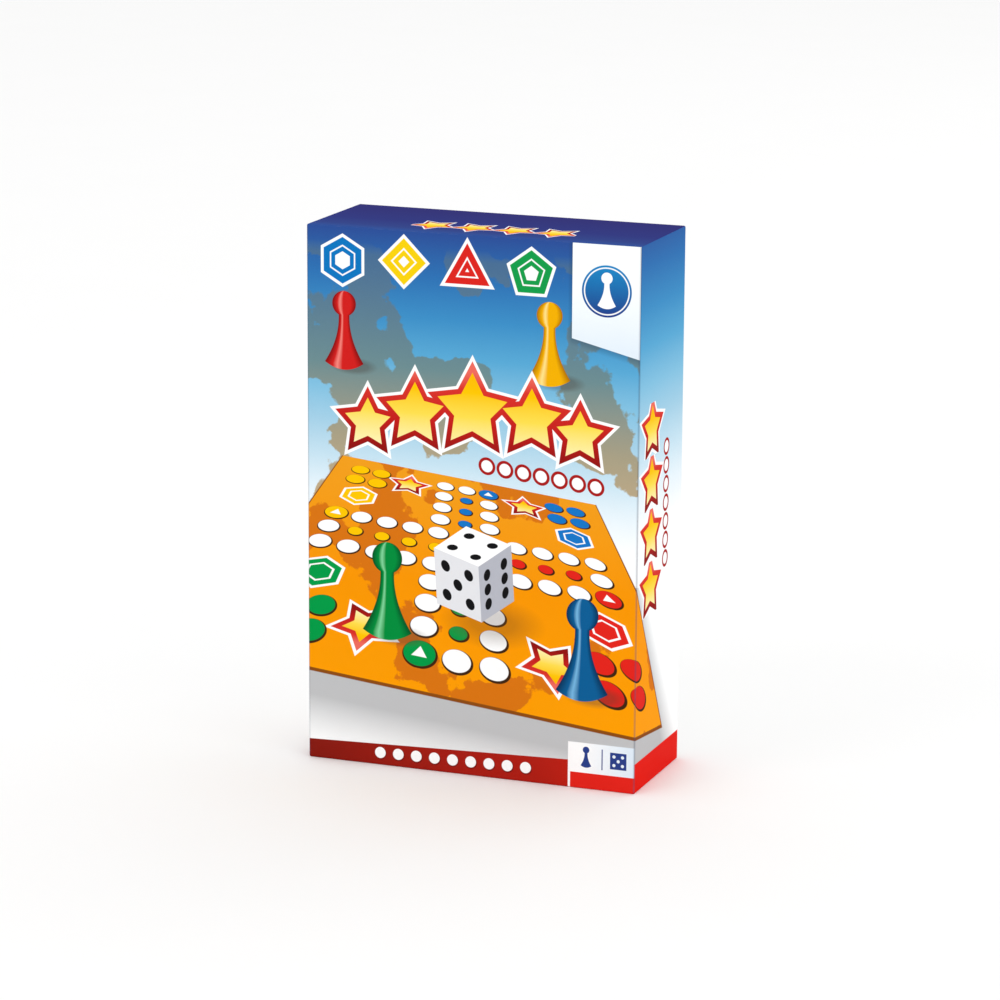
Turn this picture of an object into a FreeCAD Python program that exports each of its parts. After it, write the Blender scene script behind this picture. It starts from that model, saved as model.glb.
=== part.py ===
"""Travel ludo game in a two-piece set-up box that stands on its short end.

The frame: X to the right, Y from the front of the box to its back, Z up, origin at the middle of the
footprint. Pieces are drawn as the box lies on a table, with local z up from the outside of a panel,
and are then stood up with the box. All sizes are in millimetres.
"""

import FreeCAD
import Part
import Sketcher
import math
import os
import re

# Driving sizes. Each cell of the sheet holds one of these numbers.
SIZES = {
    "box_width": 118.0,  # outside of the closed box
    "box_height": 185.0,
    "box_depth": 46.0,
    "edge_round": 0.6,  # outside radius of the wrapped edges
    "greyboard": 1.2,  # thickness of the box's chipboard
    "wrap_sheet": 0.2,  # printed paper glued round the chipboard, with its glue
    "turn_in": 15.0,  # how far the wrap is folded inside the walls
    "stay_leg": 12.0,  # width of each leg of a corner stay tape
    "stay_sheet": 0.1,  # thickness of a stay tape
    "lid_gap": 0.5,  # running gap round the base, inside the lid
    "rim_gap": 0.3,  # between the rim of the base and the lid's panel
    "base_show": 1.0,  # how far the base's panel stands out of the lid's rim
    "tray_sheet": 0.5,  # thickness of the formed plastic sheet
    "tray_gap": 0.3,  # gap round the tray, inside the base
    "tray_corner": 4.0,  # plan radius of the tray's corners
    "tray_headroom": 0.5,  # between the tray's land and the rim of the base
    "skirt_draft": 1.5,  # draft angles of the formed walls, in degrees
    "pool_draft": 4.0,
    "socket_draft": 2.0,
    "rib": 6.0,  # width of the deck left between two pools
    "pool_corner": 5.0,  # plan radius of a pool's corners
    "rim_bevel": 0.6,  # softened rims of the pools
    "rim_draft": 45.0,
    "socket_deep": 6.0,  # depth of a pawn's socket
    "socket_play": 0.3,  # play round a piece in its socket
    "socket_land": 3.4,  # floor left between two sockets
    "piece_headroom": 0.8,  # between the pieces and the deck's level
    "die_pool_long": 48.0,
    "die_pool_tall": 26.0,
    "die_socket_deep": 5.0,
    "scoop_share": 0.42,  # of the strip beside the board, for the radius of the finger scoop
    "scoop_deep": 9.0,  # how far the scoop goes below the board's bed
    "pawn_tall": 24.0,
    "pawn_base": 12.0,  # diameters of a pawn
    "pawn_waist": 8.0,
    "pawn_neck": 4.2,
    "pawn_head": 7.8,
    "pawn_foot": 1.6,  # height of the foot's upright rim
    "pawn_core": 7.6,  # diameter and depth of the hollow under a pawn
    "pawn_core_deep": 3.0,
    "die_side": 14.0,
    "die_bevel": 1.2,
    "die_pip": 2.6,  # diameter, depth and spacing of the pips
    "die_pip_deep": 0.5,
    "die_pip_pitch": 3.6,
    "rules_share": 0.86,  # of the folded board's sides, for the sheet of rules
    "rules_sheet": 0.2,
    "sheet_gap": 0.1,  # air between the flat pieces of the stack
    "board_gap": 0.4,  # play of the game board inside the base
    "board_share": 0.805,  # of the width inside the base that the folded board takes
    "board_core": 1.5,  # thickness of the board's chipboard
    "board_paper": 0.15,  # thickness of its printed face and of its lining
    "board_turn": 7.0,  # width of the face paper folded on to the back
    "board_lap": 3.0,  # how far the lining covers that folded strip
    "crease_gap": 0.15,  # from the crease to the end of each leaf
}

# Lengths that follow from the driving sizes, each in terms of the sizes and of the lines above it.
DERIVED = {
    "panel": "greyboard + wrap_sheet",
    "wall": "greyboard + 2 * wrap_sheet",
    "lid_deep": "box_depth - base_show",
    "base_width": "box_width - 2 * wall - 2 * lid_gap",
    "base_height": "box_height - 2 * wall - 2 * lid_gap",
    "base_deep": "box_depth - panel - rim_gap",
    "well_width": "base_width - 2 * wall",
    "well_height": "base_height - 2 * wall",
    "well_deep": "base_deep - panel",
    "tray_width": "well_width - 2 * tray_gap",
    "tray_height": "well_height - 2 * tray_gap",
    "leaf_thick": "board_core + 3 * board_paper",
    "board_tall": "well_height - 2 * board_gap",
    "leaf_wide": "board_share * (well_width - 2 * board_gap)",
    "crease_x": "board_gap - well_width / 2",
    "step_x": "crease_x + leaf_wide + board_gap",
    "land_z": "well_deep - tray_headroom",
    "board_z": "land_z - 2 * leaf_thick - sheet_gap",
    "rules_z": "board_z - sheet_gap - rules_sheet",
    "deck_z": "rules_z - sheet_gap",
    "socket_z": "deck_z - piece_headroom - pawn_tall",
    "pool_z": "socket_z + socket_deep",
    "die_z": "deck_z - piece_headroom - die_side",
    "die_pool_z": "die_z + die_socket_deep",
    "bed_wide": "step_x + tray_width / 2",
    "bed_x": "(step_x - tray_width / 2) / 2",
    "pool_wide": "(bed_wide - 3 * rib) / 2",
    "pool_tall": "(tray_height - die_pool_tall - 4 * rib) / 2",
    "pool_dx": "(pool_wide + rib) / 2",
    "pool_dy": "(die_pool_tall + pool_tall) / 2 + rib",
    "socket_low": "pawn_base / 2 + socket_play",
    "socket_pitch": "2 * socket_low + socket_land",
    "strip_wide": "tray_width / 2 - step_x",
    "scoop_reach": "scoop_share * strip_wide",
    "rules_wide": "rules_share * leaf_wide",
    "rules_tall": "rules_share * board_tall",
    "overrun": "rib",  # how far a cutting shape runs past what it cuts
}

COLOURS = ("red", "yellow", "green", "blue")
CORNERS = ((-1, -1), (1, -1), (-1, 1), (1, 1))
ROUND_SIDES = 16  # flats that stand for the repeated round forms, to keep them light
FLARE_STEPS = 4
HEAD_STEPS = 5
PIP_SIDES = 8
CORNER_SIDES = 3
PIP_FACES = {  # face of the die: turns about X and Y in degrees, and its pips in spacings
    "five": (0, 0, [(0, 0), (-1, -1), (-1, 1), (1, -1), (1, 1)]),
    "two": (180, 0, [(-1, -1), (1, 1)]),
    "one": (90, 0, [(0, 0)]),
    "six": (-90, 0, [(-1, -1), (-1, 0), (-1, 1), (1, -1), (1, 0), (1, 1)]),
    "three": (0, 90, [(0, 0), (-1, -1), (1, 1)]),
    "four": (0, -90, [(-1, -1), (-1, 1), (1, -1), (1, 1)]),
}
X_AXIS = FreeCAD.Vector(1, 0, 0)
Y_AXIS = FreeCAD.Vector(0, 1, 0)
Z_AXIS = FreeCAD.Vector(0, 0, 1)

pieces = []
doc = FreeCAD.newDocument("TravelLudo")
sheet = doc.addObject("Spreadsheet::Sheet", "Sizes")
for row, (alias, number) in enumerate(SIZES.items(), 1):
    sheet.set(f"A{row}", alias)
    sheet.set(f"B{row}", str(number))
    sheet.setAlias(f"B{row}", alias)
doc.recompute()


def spelled(text):
    """The text as an expression on the sheet's cells, with each derived length written out."""

    def swap(found):
        word = found.group(0)
        if word in DERIVED:
            return "(" + spelled(DERIVED[word]) + ")"
        return "Sizes." + word if word in SIZES else word

    return re.sub(r"[a-z_]+", swap, text)


def value(text):
    """The number that the text comes to now."""
    return float(sheet.evalExpression(spelled(text)))


def bind(item, prop, text):
    item.setExpression(prop, spelled(text))


def add(kind, name):
    item = doc.addObject(kind, name)
    item.Label = name
    return item


def box(name, width, height, low, high, x="0", y="0"):
    """A plain block between two levels, with its middle at x and y."""
    item = add("Part::Box", name)
    bind(item, "Length", width)
    bind(item, "Width", height)
    bind(item, "Height", f"({high}) - ({low})")
    bind(item, "Placement.Base.x", f"{x} - ({width}) / 2")
    bind(item, "Placement.Base.y", f"{y} - ({height}) / 2")
    bind(item, "Placement.Base.z", low)
    return item


def cut(name, base, tool):
    item = add("Part::Cut", name)
    item.Base = base
    item.Tool = tool
    return item


def common(name, base, tool):
    item = add("Part::Common", name)
    item.Base = base
    item.Tool = tool
    return item


def fuse(name, *pieces):
    item = add("Part::MultiFuse", name)
    item.Shapes = list(pieces)
    return item


def new_sketch(body, name, x="0", y="0", z="0"):
    """A sketch on the body's own XY plane, moved along it by x and y and off it by z."""
    sketch = body.newObject("Sketcher::SketchObject", name)
    ground = next(f for f in body.Origin.OriginFeatures if f.Role == "XY_Plane")
    sketch.AttachmentSupport = [(ground, "")]
    sketch.MapMode = "FlatFace"
    for axis, text in zip("xyz", (x, y, z)):
        bind(sketch, f"AttachmentOffset.Base.{axis}", text)
    return sketch


def dimension(sketch, text, kind, *where):
    """A dimension that follows the sheet and starts at its value of now."""
    number = sketch.addConstraint(Sketcher.Constraint(kind, *where, value(text)))
    bind(sketch, f"Constraints[{number}]", text)


def rectangle(sketch, width, height, corner=None):
    """A rectangle round the sketch's origin, with round corners where a radius is given."""
    half_wide = value(width) / 2
    half_tall = value(height) / 2
    radius = value(corner) if corner else 0.0
    point = FreeCAD.Vector
    sides = [
        (point(radius - half_wide, -half_tall), point(half_wide - radius, -half_tall)),
        (point(half_wide, radius - half_tall), point(half_wide, half_tall - radius)),
        (point(half_wide - radius, half_tall), point(radius - half_wide, half_tall)),
        (point(-half_wide, half_tall - radius), point(-half_wide, radius - half_tall)),
    ]
    lines = [sketch.addGeometry(Part.LineSegment(*ends), False) for ends in sides]
    join = sketch.addConstraint
    join(Sketcher.Constraint("Horizontal", lines[0]))
    join(Sketcher.Constraint("Vertical", lines[1]))
    if corner:
        arcs = []
        for k, (right, up) in enumerate([(1, -1), (1, 1), (-1, 1), (-1, -1)]):
            middle = point(right * (half_wide - radius), up * (half_tall - radius))
            start = (k - 1) * math.pi / 2
            round_corner = Part.ArcOfCircle(
                Part.Circle(middle, Z_AXIS, radius), start, start + math.pi / 2
            )
            arcs.append(sketch.addGeometry(round_corner, False))
        for k in range(4):
            join(Sketcher.Constraint("Tangent", lines[k], 2, arcs[k], 1))
            join(Sketcher.Constraint("Tangent", arcs[k], 2, lines[(k + 1) % 4], 1))
        for k in range(3):
            join(Sketcher.Constraint("Equal", arcs[k], arcs[k + 1]))
        dimension(sketch, corner, "Radius", arcs[0])
        join(Sketcher.Constraint("Symmetric", arcs[0], 3, arcs[2], 3, -1, 1))
    else:
        for k in range(4):
            join(Sketcher.Constraint("Coincident", lines[k], 2, lines[(k + 1) % 4], 1))
        join(Sketcher.Constraint("Symmetric", lines[0], 1, lines[2], 1, -1, 1))
        join(Sketcher.Constraint("Horizontal", lines[2]))
        join(Sketcher.Constraint("Vertical", lines[3]))
    dimension(sketch, width, "DistanceX", lines[3], 1, lines[1], 1)
    dimension(sketch, height, "DistanceY", lines[0], 1, lines[2], 1)


def polygon(sketch, points):
    """A closed outline through points that are given as texts."""
    ends = [FreeCAD.Vector(value(x), value(y), 0) for x, y in points]
    lines = [
        sketch.addGeometry(Part.LineSegment(end, ends[(k + 1) % len(ends)]), False)
        for k, end in enumerate(ends)
    ]
    for k, (x, y) in enumerate(points):
        following = lines[(k + 1) % len(lines)]
        sketch.addConstraint(Sketcher.Constraint("Coincident", lines[k], 2, following, 1))
        dimension(sketch, x, "DistanceX", -1, 1, lines[k], 1)
        dimension(sketch, y, "DistanceY", -1, 1, lines[k], 1)


def arc_points(x, y, radius, start, sweep, sides):
    """Points on an arc, with angles in degrees."""
    angles = [start + sweep * k / sides for k in range(sides + 1)]
    return [(f"{x} + {radius} * cos({a})", f"{y} + {radius} * sin({a})") for a in angles]


def soft_outline(width, height, corner):
    """A rectangle whose corners are turned in a few short flats."""
    points = []
    for start, (right, up) in zip((0, 90, 180, 270), ((1, 1), (-1, 1), (-1, -1), (1, -1))):
        x = f"{right} * (({width}) / 2 - ({corner}))"
        y = f"{up} * (({height}) / 2 - ({corner}))"
        points += arc_points(x, y, f"({corner})", start, 90, CORNER_SIDES)
    return points


def pad(body, sketch, length, draft=None):
    """Raises the sketch. A draft narrows the pad towards its top."""
    item = body.newObject("PartDesign::Pad", sketch.Name + "_pad")
    item.Profile = sketch
    bind(item, "Length", length)
    if draft:
        bind(item, "TaperAngle", f"-{draft}")
    return item


def pocket(body, sketch, depth, draft=None):
    """Sinks the sketch towards lower z. A draft narrows the pocket towards its floor."""
    item = body.newObject("PartDesign::Pocket", sketch.Name + "_pocket")
    item.Profile = sketch
    bind(item, "Length", depth)
    if draft:
        bind(item, "TaperAngle", f"-{draft}")
    return item


def repeat(body, features, shifts):
    """Repeats features: for each shift, all copies so far are copied once more."""
    doc.recompute()
    grid = body.newObject("PartDesign::MultiTransform", f"{features[0].Name}_grid")
    grid.Originals = features
    steps = []
    for role, length in shifts:
        step = body.newObject("PartDesign::LinearPattern", f"{grid.Name}_step_{len(steps)}")
        axis = next(f for f in body.Origin.OriginFeatures if f.Role == role)
        step.Direction = (axis, [""])
        step.Occurrences = 2
        bind(step, "Length", length)
        steps.append(step)
    grid.Transformations = steps
    body.Tip = grid


def soften(body, kind, prop, size, wanted):
    """A fillet or chamfer on the wanted edges of the body so far."""
    doc.recompute()
    tip = body.Tip
    names = [f"Edge{k}" for k, edge in enumerate(tip.Shape.Edges, 1) if wanted(edge.BoundBox)]
    item = body.newObject(f"PartDesign::{kind}", f"{body.Name}_{kind.lower()}")
    item.Base = (tip, names)
    bind(item, prop, size)
    return item


def same(first, second):
    return math.isclose(first, second, abs_tol=Part.Precision.confusion())


def upright(bounds):
    return same(bounds.XLength, 0) and same(bounds.YLength, 0)


def lies_at(level):
    """A test for edges that lie flat at one level."""
    return lambda bounds: same(bounds.ZMin, level) and same(bounds.ZMax, level)


def piece(name, form, depth, turn, x="0", z="0"):
    """One real piece: its form, stood up with the box so that its local z runs along Y."""
    item = add("Part::Compound", name)
    item.Links = [form]
    item.Placement = FreeCAD.Placement(FreeCAD.Vector(), FreeCAD.Rotation(X_AXIS, turn))
    bind(item, "Placement.Base.x", x)
    bind(item, "Placement.Base.y", depth)
    bind(item, "Placement.Base.z", f"box_height / 2 + {z}")
    pieces.append(item)


def in_lid(name, form):
    """Local z starts at the outside of the lid's panel, which is the printed front."""
    piece(name, form, "-box_depth / 2", -90)


def in_base(name, form):
    """Local z starts at the outside of the base's panel, which is the back."""
    piece(name, form, "box_depth / 2", 90)


def in_well(name, form, x="0", y="0", level="0"):
    """Local z starts at a level above the floor inside the base."""
    piece(name, form, f"box_depth / 2 - panel - ({level})", 90, x, y)


def rounded_block(name, width, height, deep):
    """A block with round corners and a round edge round its lower face."""
    body = add("PartDesign::Body", name)
    outline = new_sketch(body, f"{name}_outline")
    rectangle(outline, width, height, "edge_round")
    pad(body, outline, deep)
    soften(body, "Fillet", "Radius", "edge_round", lies_at(0))
    return body


def bevelled_block(name, width, height, low, high, radius, lower_edge):
    """A block whose corners, and lower edge where asked, are bevelled like folded board."""
    body = add("PartDesign::Body", name)
    outline = new_sketch(body, f"{name}_outline", z=low)
    rectangle(outline, width, height)
    pad(body, outline, f"({high}) - ({low})")
    level = lies_at(value(low))
    wanted = (lambda edge: upright(edge) or level(edge)) if lower_edge else upright
    soften(body, "Chamfer", "Size", f"({radius}) * (2 - sqrt(2))", wanted)
    return body


def half_box(name, width, height, deep, place):
    """Lid or base: chipboard, stay tapes on its corners, and the paper wrapped round both.

    The outside of the panel is at z = 0 and the rim is at z = deep.
    """
    card_wide = f"({width} - 2 * wrap_sheet)"
    card_tall = f"({height} - 2 * wrap_sheet)"
    card_top = f"({deep} - wrap_sheet)"
    card_round = "edge_round - wrap_sheet"
    room_wide = f"({width} - 2 * panel)"
    room_tall = f"({height} - 2 * panel)"
    past = f"{deep} + overrun"
    turned = f"{deep} - turn_in"

    skin = rounded_block(f"{name}_skin", width, height, deep)
    card = bevelled_block(
        f"{name}_card", card_wide, card_tall, "wrap_sheet", card_top, card_round, True
    )
    room = box(f"{name}_room", room_wide, room_tall, "panel", past)
    board = cut(f"{name}_board_form", card, room)

    tape = bevelled_block(
        f"{name}_tape",
        f"({card_wide} + 2 * stay_sheet)",
        f"({card_tall} + 2 * stay_sheet)",
        "panel",
        card_top,
        f"{card_round} + stay_sheet",
        False,
    )
    tape_ring = cut(f"{name}_tape_ring", tape, card)
    legs = [
        box(
            f"{name}_leg_{k}",
            "2 * stay_leg",
            "2 * stay_leg",
            "panel",
            card_top,
            f"{right} * {card_wide} / 2",
            f"{up} * {card_tall} / 2",
        )
        for k, (right, up) in enumerate(CORNERS)
    ]
    stays = common(f"{name}_stays_form", tape_ring, fuse(f"{name}_legs", *legs))

    # the wrap is the skin less what it covers and what is open, down to a strip inside the rim
    deep_room = box(f"{name}_deep_room", room_wide, room_tall, "panel", turned)
    mouth = box(
        f"{name}_mouth",
        f"{width} - 2 * wall",
        f"{height} - 2 * wall",
        f"{turned} - wrap_sheet",
        past,
    )
    covered = fuse(f"{name}_covered", board, stays, deep_room, mouth)
    wrap = cut(f"{name}_wrap_form", skin, covered)
    place(f"{name}_board", board)
    place(f"{name}_corner_stays", stays)
    place(f"{name}_wrap", wrap)


def sunk(body, name, place, sizes, inset, depth, draft):
    """A drafted pocket from a place, with the sizes of its outline: width, height and corner."""
    width, height, corner = sizes
    sketch = new_sketch(body, f"{body.Name}_{name}", *place)
    outline = soft_outline(
        f"{width} + 2 * {inset}", f"{height} + 2 * {inset}", f"{corner} + {inset}"
    )
    polygon(sketch, outline)
    return pocket(body, sketch, depth, draft)


def funnel(name, reach, depth, draft):
    """A form to be sunk with its top at z = 0, whose flats lie at the reach at its floor."""
    low = value(reach) / math.cos(math.pi / ROUND_SIDES)
    deep = value(depth)
    high = low + deep * math.tan(math.radians(value(draft)))
    form = add("Part::Feature", name)
    form.Shape = faceted_turning([(0, -deep), (low, -deep), (high, 0), (0, 0)])
    return form


def copy_of(form, name, x, y, z):
    item = add("Part::Compound", name)
    item.Links = [form]
    for axis, text in zip("xyz", (x, y, z)):
        bind(item, f"Placement.Base.{axis}", text)
    return item


def formed_side(name, inset, bevelled):
    """All that lies under one side of the formed sheet, inset from the side that shows."""
    body = add("PartDesign::Body", name)
    top = f"land_z - {inset}"
    deck = f"deck_z - {inset}"
    skirt = new_sketch(body, f"{name}_skirt")
    width = f"tray_width - 2 * {inset}"
    height = f"tray_height - 2 * {inset}"
    polygon(skirt, soft_outline(width, height, f"tray_corner - {inset}"))
    pad(body, skirt, top, "skirt_draft")

    # the bed for the board is open towards the left of the step
    bed = new_sketch(body, f"{name}_bed", f"step_x + {inset} - tray_width", "0", top)
    rectangle(bed, "2 * tray_width", "2 * tray_height")
    pocket(body, bed, "land_z - deck_z")

    # one pool for the pawns of each colour, and a smaller one between them for the die
    for pool, x, y, width, height, depth in (
        ("pool", "bed_x - pool_dx", "-pool_dy", "pool_wide", "pool_tall", "deck_z - pool_z"),
        ("die_pool", "bed_x", "0", "die_pool_long", "die_pool_tall", "deck_z - die_pool_z"),
    ):
        place = (x, y, deck)
        outline = (width, height, "pool_corner")
        sunken = [sunk(body, pool, place, outline, inset, depth, "pool_draft")]
        if bevelled:
            rim = [f"{size} + {share} * rim_bevel" for size, share in zip(outline, (2, 2, 1))]
            sunken.append(sunk(body, f"{pool}_rim", place, rim, inset, "rim_bevel", "rim_draft"))
        if pool == "pool":
            repeat(body, sunken, [("X_Axis", "2 * pool_dx"), ("Y_Axis", "2 * pool_dy")])
    side = "die_side + 2 * socket_play + 2 * die_socket_deep * tan(socket_draft)"
    place = ("bed_x", "0", f"die_pool_z - {inset}")
    outline = (side, side, "die_bevel")
    sunk(body, "die_socket", place, outline, inset, "die_socket_deep", "socket_draft")

    # a round socket for each pawn, and a finger scoop across the step
    socket = funnel(f"{name}_socket", f"socket_low + {inset}", "socket_deep", "socket_draft")
    level = f"pool_z - {inset}"
    tools = [
        copy_of(socket, f"{name}_socket_{k}", x, y, level) for k, (x, y) in enumerate(SOCKETS)
    ]
    depth = "(land_z - deck_z + scoop_deep)"
    reach = f"scoop_reach - {depth} * tan(pool_draft) + {inset}"
    scoop = funnel(f"{name}_scoop", reach, depth, "pool_draft")
    tools.append(copy_of(scoop, f"{name}_scoop_place", "step_x", "0", top))
    tool = add("Part::Compound", f"{name}_tools")
    tool.Links = tools
    return cut(f"{name}_side", body, tool)


def make_tray():
    """One plastic sheet formed over a tool: the form less the same form one sheet further in."""
    form = formed_side("tray_form", "0", True)
    hollow = formed_side("tray_hollow", "tray_sheet", False)
    in_well("piece_tray", cut("tray_sheet_form", form, hollow))


def faceted_turning(profile):
    """A turned solid with flat facets, from (radius, height) pairs that start and end on its axis."""
    rings = []
    for radius, height in profile:
        if same(radius, 0):
            rings.append([FreeCAD.Vector(0, 0, height)])
            continue
        angles = [2 * math.pi * k / ROUND_SIDES for k in range(ROUND_SIDES)]
        rings.append(
            [FreeCAD.Vector(radius * math.cos(a), radius * math.sin(a), height) for a in angles]
        )
    faces = []
    for lower, upper in zip(rings, rings[1:]):
        for k in range(ROUND_SIDES):
            corners = [
                lower[k % len(lower)],
                lower[(k + 1) % len(lower)],
                upper[(k + 1) % len(upper)],
                upper[k % len(upper)],
            ]
            outline = [p for j, p in enumerate(corners) if not p.isEqual(corners[j - 1], 0)]
            faces.append(Part.Face(Part.makePolygon(outline + outline[:1])))
    return Part.makeSolid(Part.makeShell(faces))


def pawn_profile():
    """A hollow foot, a flare up to a slim neck, and a ball for a head."""
    ball = value("pawn_head") / 2
    neck = value("pawn_neck") / 2
    waist = value("pawn_waist") / 2
    foot = value("pawn_foot")
    middle = value("pawn_tall") - ball
    start = math.acos(neck / ball)
    neck_height = middle - ball * math.sin(start)
    core = value("pawn_core") / 2
    base = value("pawn_base") / 2
    profile = [(0, value("pawn_core_deep")), (core, 0), (base, 0), (base, foot)]
    for k in range(FLARE_STEPS + 1):
        share = k / FLARE_STEPS
        radius = neck + (waist - neck) * (1 - share) ** 2
        profile.append((radius, foot + (base - waist) + (neck_height - foot - base + waist) * share))
    for k in range(1, HEAD_STEPS):
        angle = k * (start + math.pi / 2) / HEAD_STEPS - start
        profile.append((ball * math.cos(angle), middle + ball * math.sin(angle)))
    profile.append((0, middle + ball))
    return profile


def make_pawns():
    """Four pawns of a colour in each pool, all of one form."""
    form = add("Part::Feature", "pawn_form")
    form.Shape = faceted_turning(pawn_profile())
    for k, (x, y) in enumerate(SOCKETS):
        colour = COLOURS[k // len(CORNERS)]
        number = k % len(CORNERS) + 1
        in_well(f"pawn_{colour}_{number}", form, x, y, "socket_z + sheet_gap")


def make_die():
    """A cube with bevelled edges and a shallow recess for each pip."""
    cube = add("PartDesign::Body", "die_cube")
    outline = new_sketch(cube, "die_outline")
    rectangle(outline, "die_side", "die_side")
    pad(cube, outline, "die_side")
    soften(cube, "Chamfer", "Size", "die_bevel", lambda edge: True)
    pips = []
    for face, (tilt, swing, spots) in PIP_FACES.items():
        turn = FreeCAD.Rotation(X_AXIS, tilt).multiply(FreeCAD.Rotation(Y_AXIS, swing))
        out = turn.multVec(Z_AXIS)
        for k, (right, up) in enumerate(spots):
            spot = turn.multVec(FreeCAD.Vector(right, up, 0))
            pip = add("Part::Prism", f"pip_{face}_{k}")
            pip.Polygon = PIP_SIDES
            bind(pip, "Circumradius", "die_pip / 2")
            bind(pip, "Height", "die_pip_deep + overrun")
            pip.Placement = FreeCAD.Placement(FreeCAD.Vector(), turn)
            for axis in "xyz":
                along = round(getattr(spot, axis))
                outward = round(getattr(out, axis))
                lift = "die_side / 2" if axis == "z" else "0"
                bind(
                    pip,
                    f"Placement.Base.{axis}",
                    f"{along} * die_pip_pitch + {outward} * (die_side / 2 - die_pip_deep) + {lift}",
                )
            pips.append(pip)
    form = cut("die_form", cube, fuse("die_pips", *pips))
    in_well("die", form, "bed_x", "0", "die_z + sheet_gap")


def make_leaf(name, flip):
    """Half of the folding board. Its printed face is up, or down where the half is flipped over.

    Local x runs from the crease to the free edge, and local z up from the lining.
    """
    inner = "crease_gap"
    paper = "board_paper"
    core_low = f"2 * {paper}"
    core_high = f"2 * {paper} + board_core"
    wide = f"(leaf_wide - {inner})"
    core_wide = f"({wide} - {paper})"
    core_tall = f"(board_tall - 2 * {paper})"
    core_x = f"({inner} + {core_wide} / 2)"
    core = box(f"{name}_core", core_wide, core_tall, core_low, core_high, core_x)

    # the face paper covers the chipboard and its three free edges, and a strip of its back
    blank = box(
        f"{name}_blank", wide, "board_tall", paper, f"{core_high} + {paper}", f"{inner} + {wide} / 2"
    )
    window = box(
        f"{name}_window",
        f"({wide} - board_turn)",
        "(board_tall - 2 * board_turn)",
        "0",
        core_low,
        f"{inner} + ({wide} - board_turn) / 2",
    )
    crease_end = box(f"{name}_crease_end", f"2 * {inner}", "2 * board_tall", "0", core_low)
    covered = fuse(f"{name}_covered", core, window, crease_end)
    face = cut(f"{name}_face_form", blank, covered)

    # the lining fills that window and laps over the folded strip
    lining_wide = f"({wide} - board_turn + board_lap)"
    lap = box(
        f"{name}_lap",
        lining_wide,
        "(board_tall - 2 * board_turn + 2 * board_lap)",
        "0",
        paper,
        f"{inner} + {lining_wide} / 2",
    )
    fill = common(f"{name}_fill", blank, window)
    lining = fuse(f"{name}_lining_form", lap, fill)

    # both halves start at the crease, and the flipped one lies face down on the other
    level = "land_z" if flip else "board_z"
    for part_name, form in (("panel", core), ("face", face), ("lining", lining)):
        depth = f"box_depth / 2 - panel - ({level})"
        piece(f"{name}_{part_name}", form, depth, -90 if flip else 90, "crease_x")


def make_rules():
    """One sheet that lies on the deck, at the lower end of the box."""
    form = box("rules_form", "rules_wide", "rules_tall", "0", "rules_sheet")
    in_well("rules_sheet", form, "bed_x", "board_gap + (rules_tall - well_height) / 2", "rules_z")


# the sockets of each pool in turn
SOCKETS = [
    (
        f"bed_x + {right} * pool_dx + {across} * socket_pitch / 2",
        f"{up} * pool_dy + {along} * socket_pitch / 2",
    )
    for right, up in CORNERS
    for across, along in CORNERS
]

half_box("lid", "box_width", "box_height", "lid_deep", in_lid)
half_box("base", "base_width", "base_height", "base_deep", in_base)
make_tray()
make_pawns()
make_die()
make_leaf("board_back", False)
make_leaf("board_front", True)
make_rules()
doc.recompute()

for item in doc.Objects:
    if "Invalid" in item.State or "Error" in item.State:
        raise RuntimeError(f"{item.Name} did not recompute: {item.State}")
for item in pieces:
    if item.Shape.isNull() or not item.Shape.isValid() or not item.Shape.Solids:
        raise RuntimeError(f"{item.Label} has no valid solid")

os.makedirs("parts", exist_ok=True)
for item in pieces:
    item.Shape.exportStep(f"parts/{item.Label}.step")
    print(f"{item.Label}: {len(item.Shape.Solids)} solids, {item.Shape.Volume:.2f} cubic mm")
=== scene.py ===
"""Looks of the travel ludo game: the printed box as photographed, and what it holds.

Every length in the paint is in millimetres, in the part's own frame: x to the right, y from the
front of the box to its back, z up.
"""

import math
from collections import namedtuple
from functools import reduce

import bmesh
import bpy
import numpy as np
from mathutils import Matrix, Vector


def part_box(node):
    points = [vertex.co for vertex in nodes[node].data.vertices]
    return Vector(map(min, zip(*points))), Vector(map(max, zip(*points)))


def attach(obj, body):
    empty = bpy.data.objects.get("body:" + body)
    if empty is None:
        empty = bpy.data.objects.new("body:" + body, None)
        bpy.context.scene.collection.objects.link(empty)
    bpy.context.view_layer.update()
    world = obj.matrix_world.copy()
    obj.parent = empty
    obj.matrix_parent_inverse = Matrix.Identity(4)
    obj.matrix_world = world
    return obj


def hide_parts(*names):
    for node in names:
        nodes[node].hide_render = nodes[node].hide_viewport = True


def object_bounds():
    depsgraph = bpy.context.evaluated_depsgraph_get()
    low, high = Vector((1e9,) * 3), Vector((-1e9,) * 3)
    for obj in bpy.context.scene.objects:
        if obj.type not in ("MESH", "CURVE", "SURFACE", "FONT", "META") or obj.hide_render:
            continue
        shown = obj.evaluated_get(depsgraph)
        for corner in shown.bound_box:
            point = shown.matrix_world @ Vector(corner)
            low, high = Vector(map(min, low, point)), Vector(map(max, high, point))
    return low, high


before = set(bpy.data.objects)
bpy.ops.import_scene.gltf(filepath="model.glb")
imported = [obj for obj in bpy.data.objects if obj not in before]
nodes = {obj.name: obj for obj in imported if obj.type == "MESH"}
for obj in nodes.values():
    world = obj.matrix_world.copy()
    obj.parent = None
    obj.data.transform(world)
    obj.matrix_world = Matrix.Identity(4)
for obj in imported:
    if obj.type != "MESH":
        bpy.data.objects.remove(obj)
cad_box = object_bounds()

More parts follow.
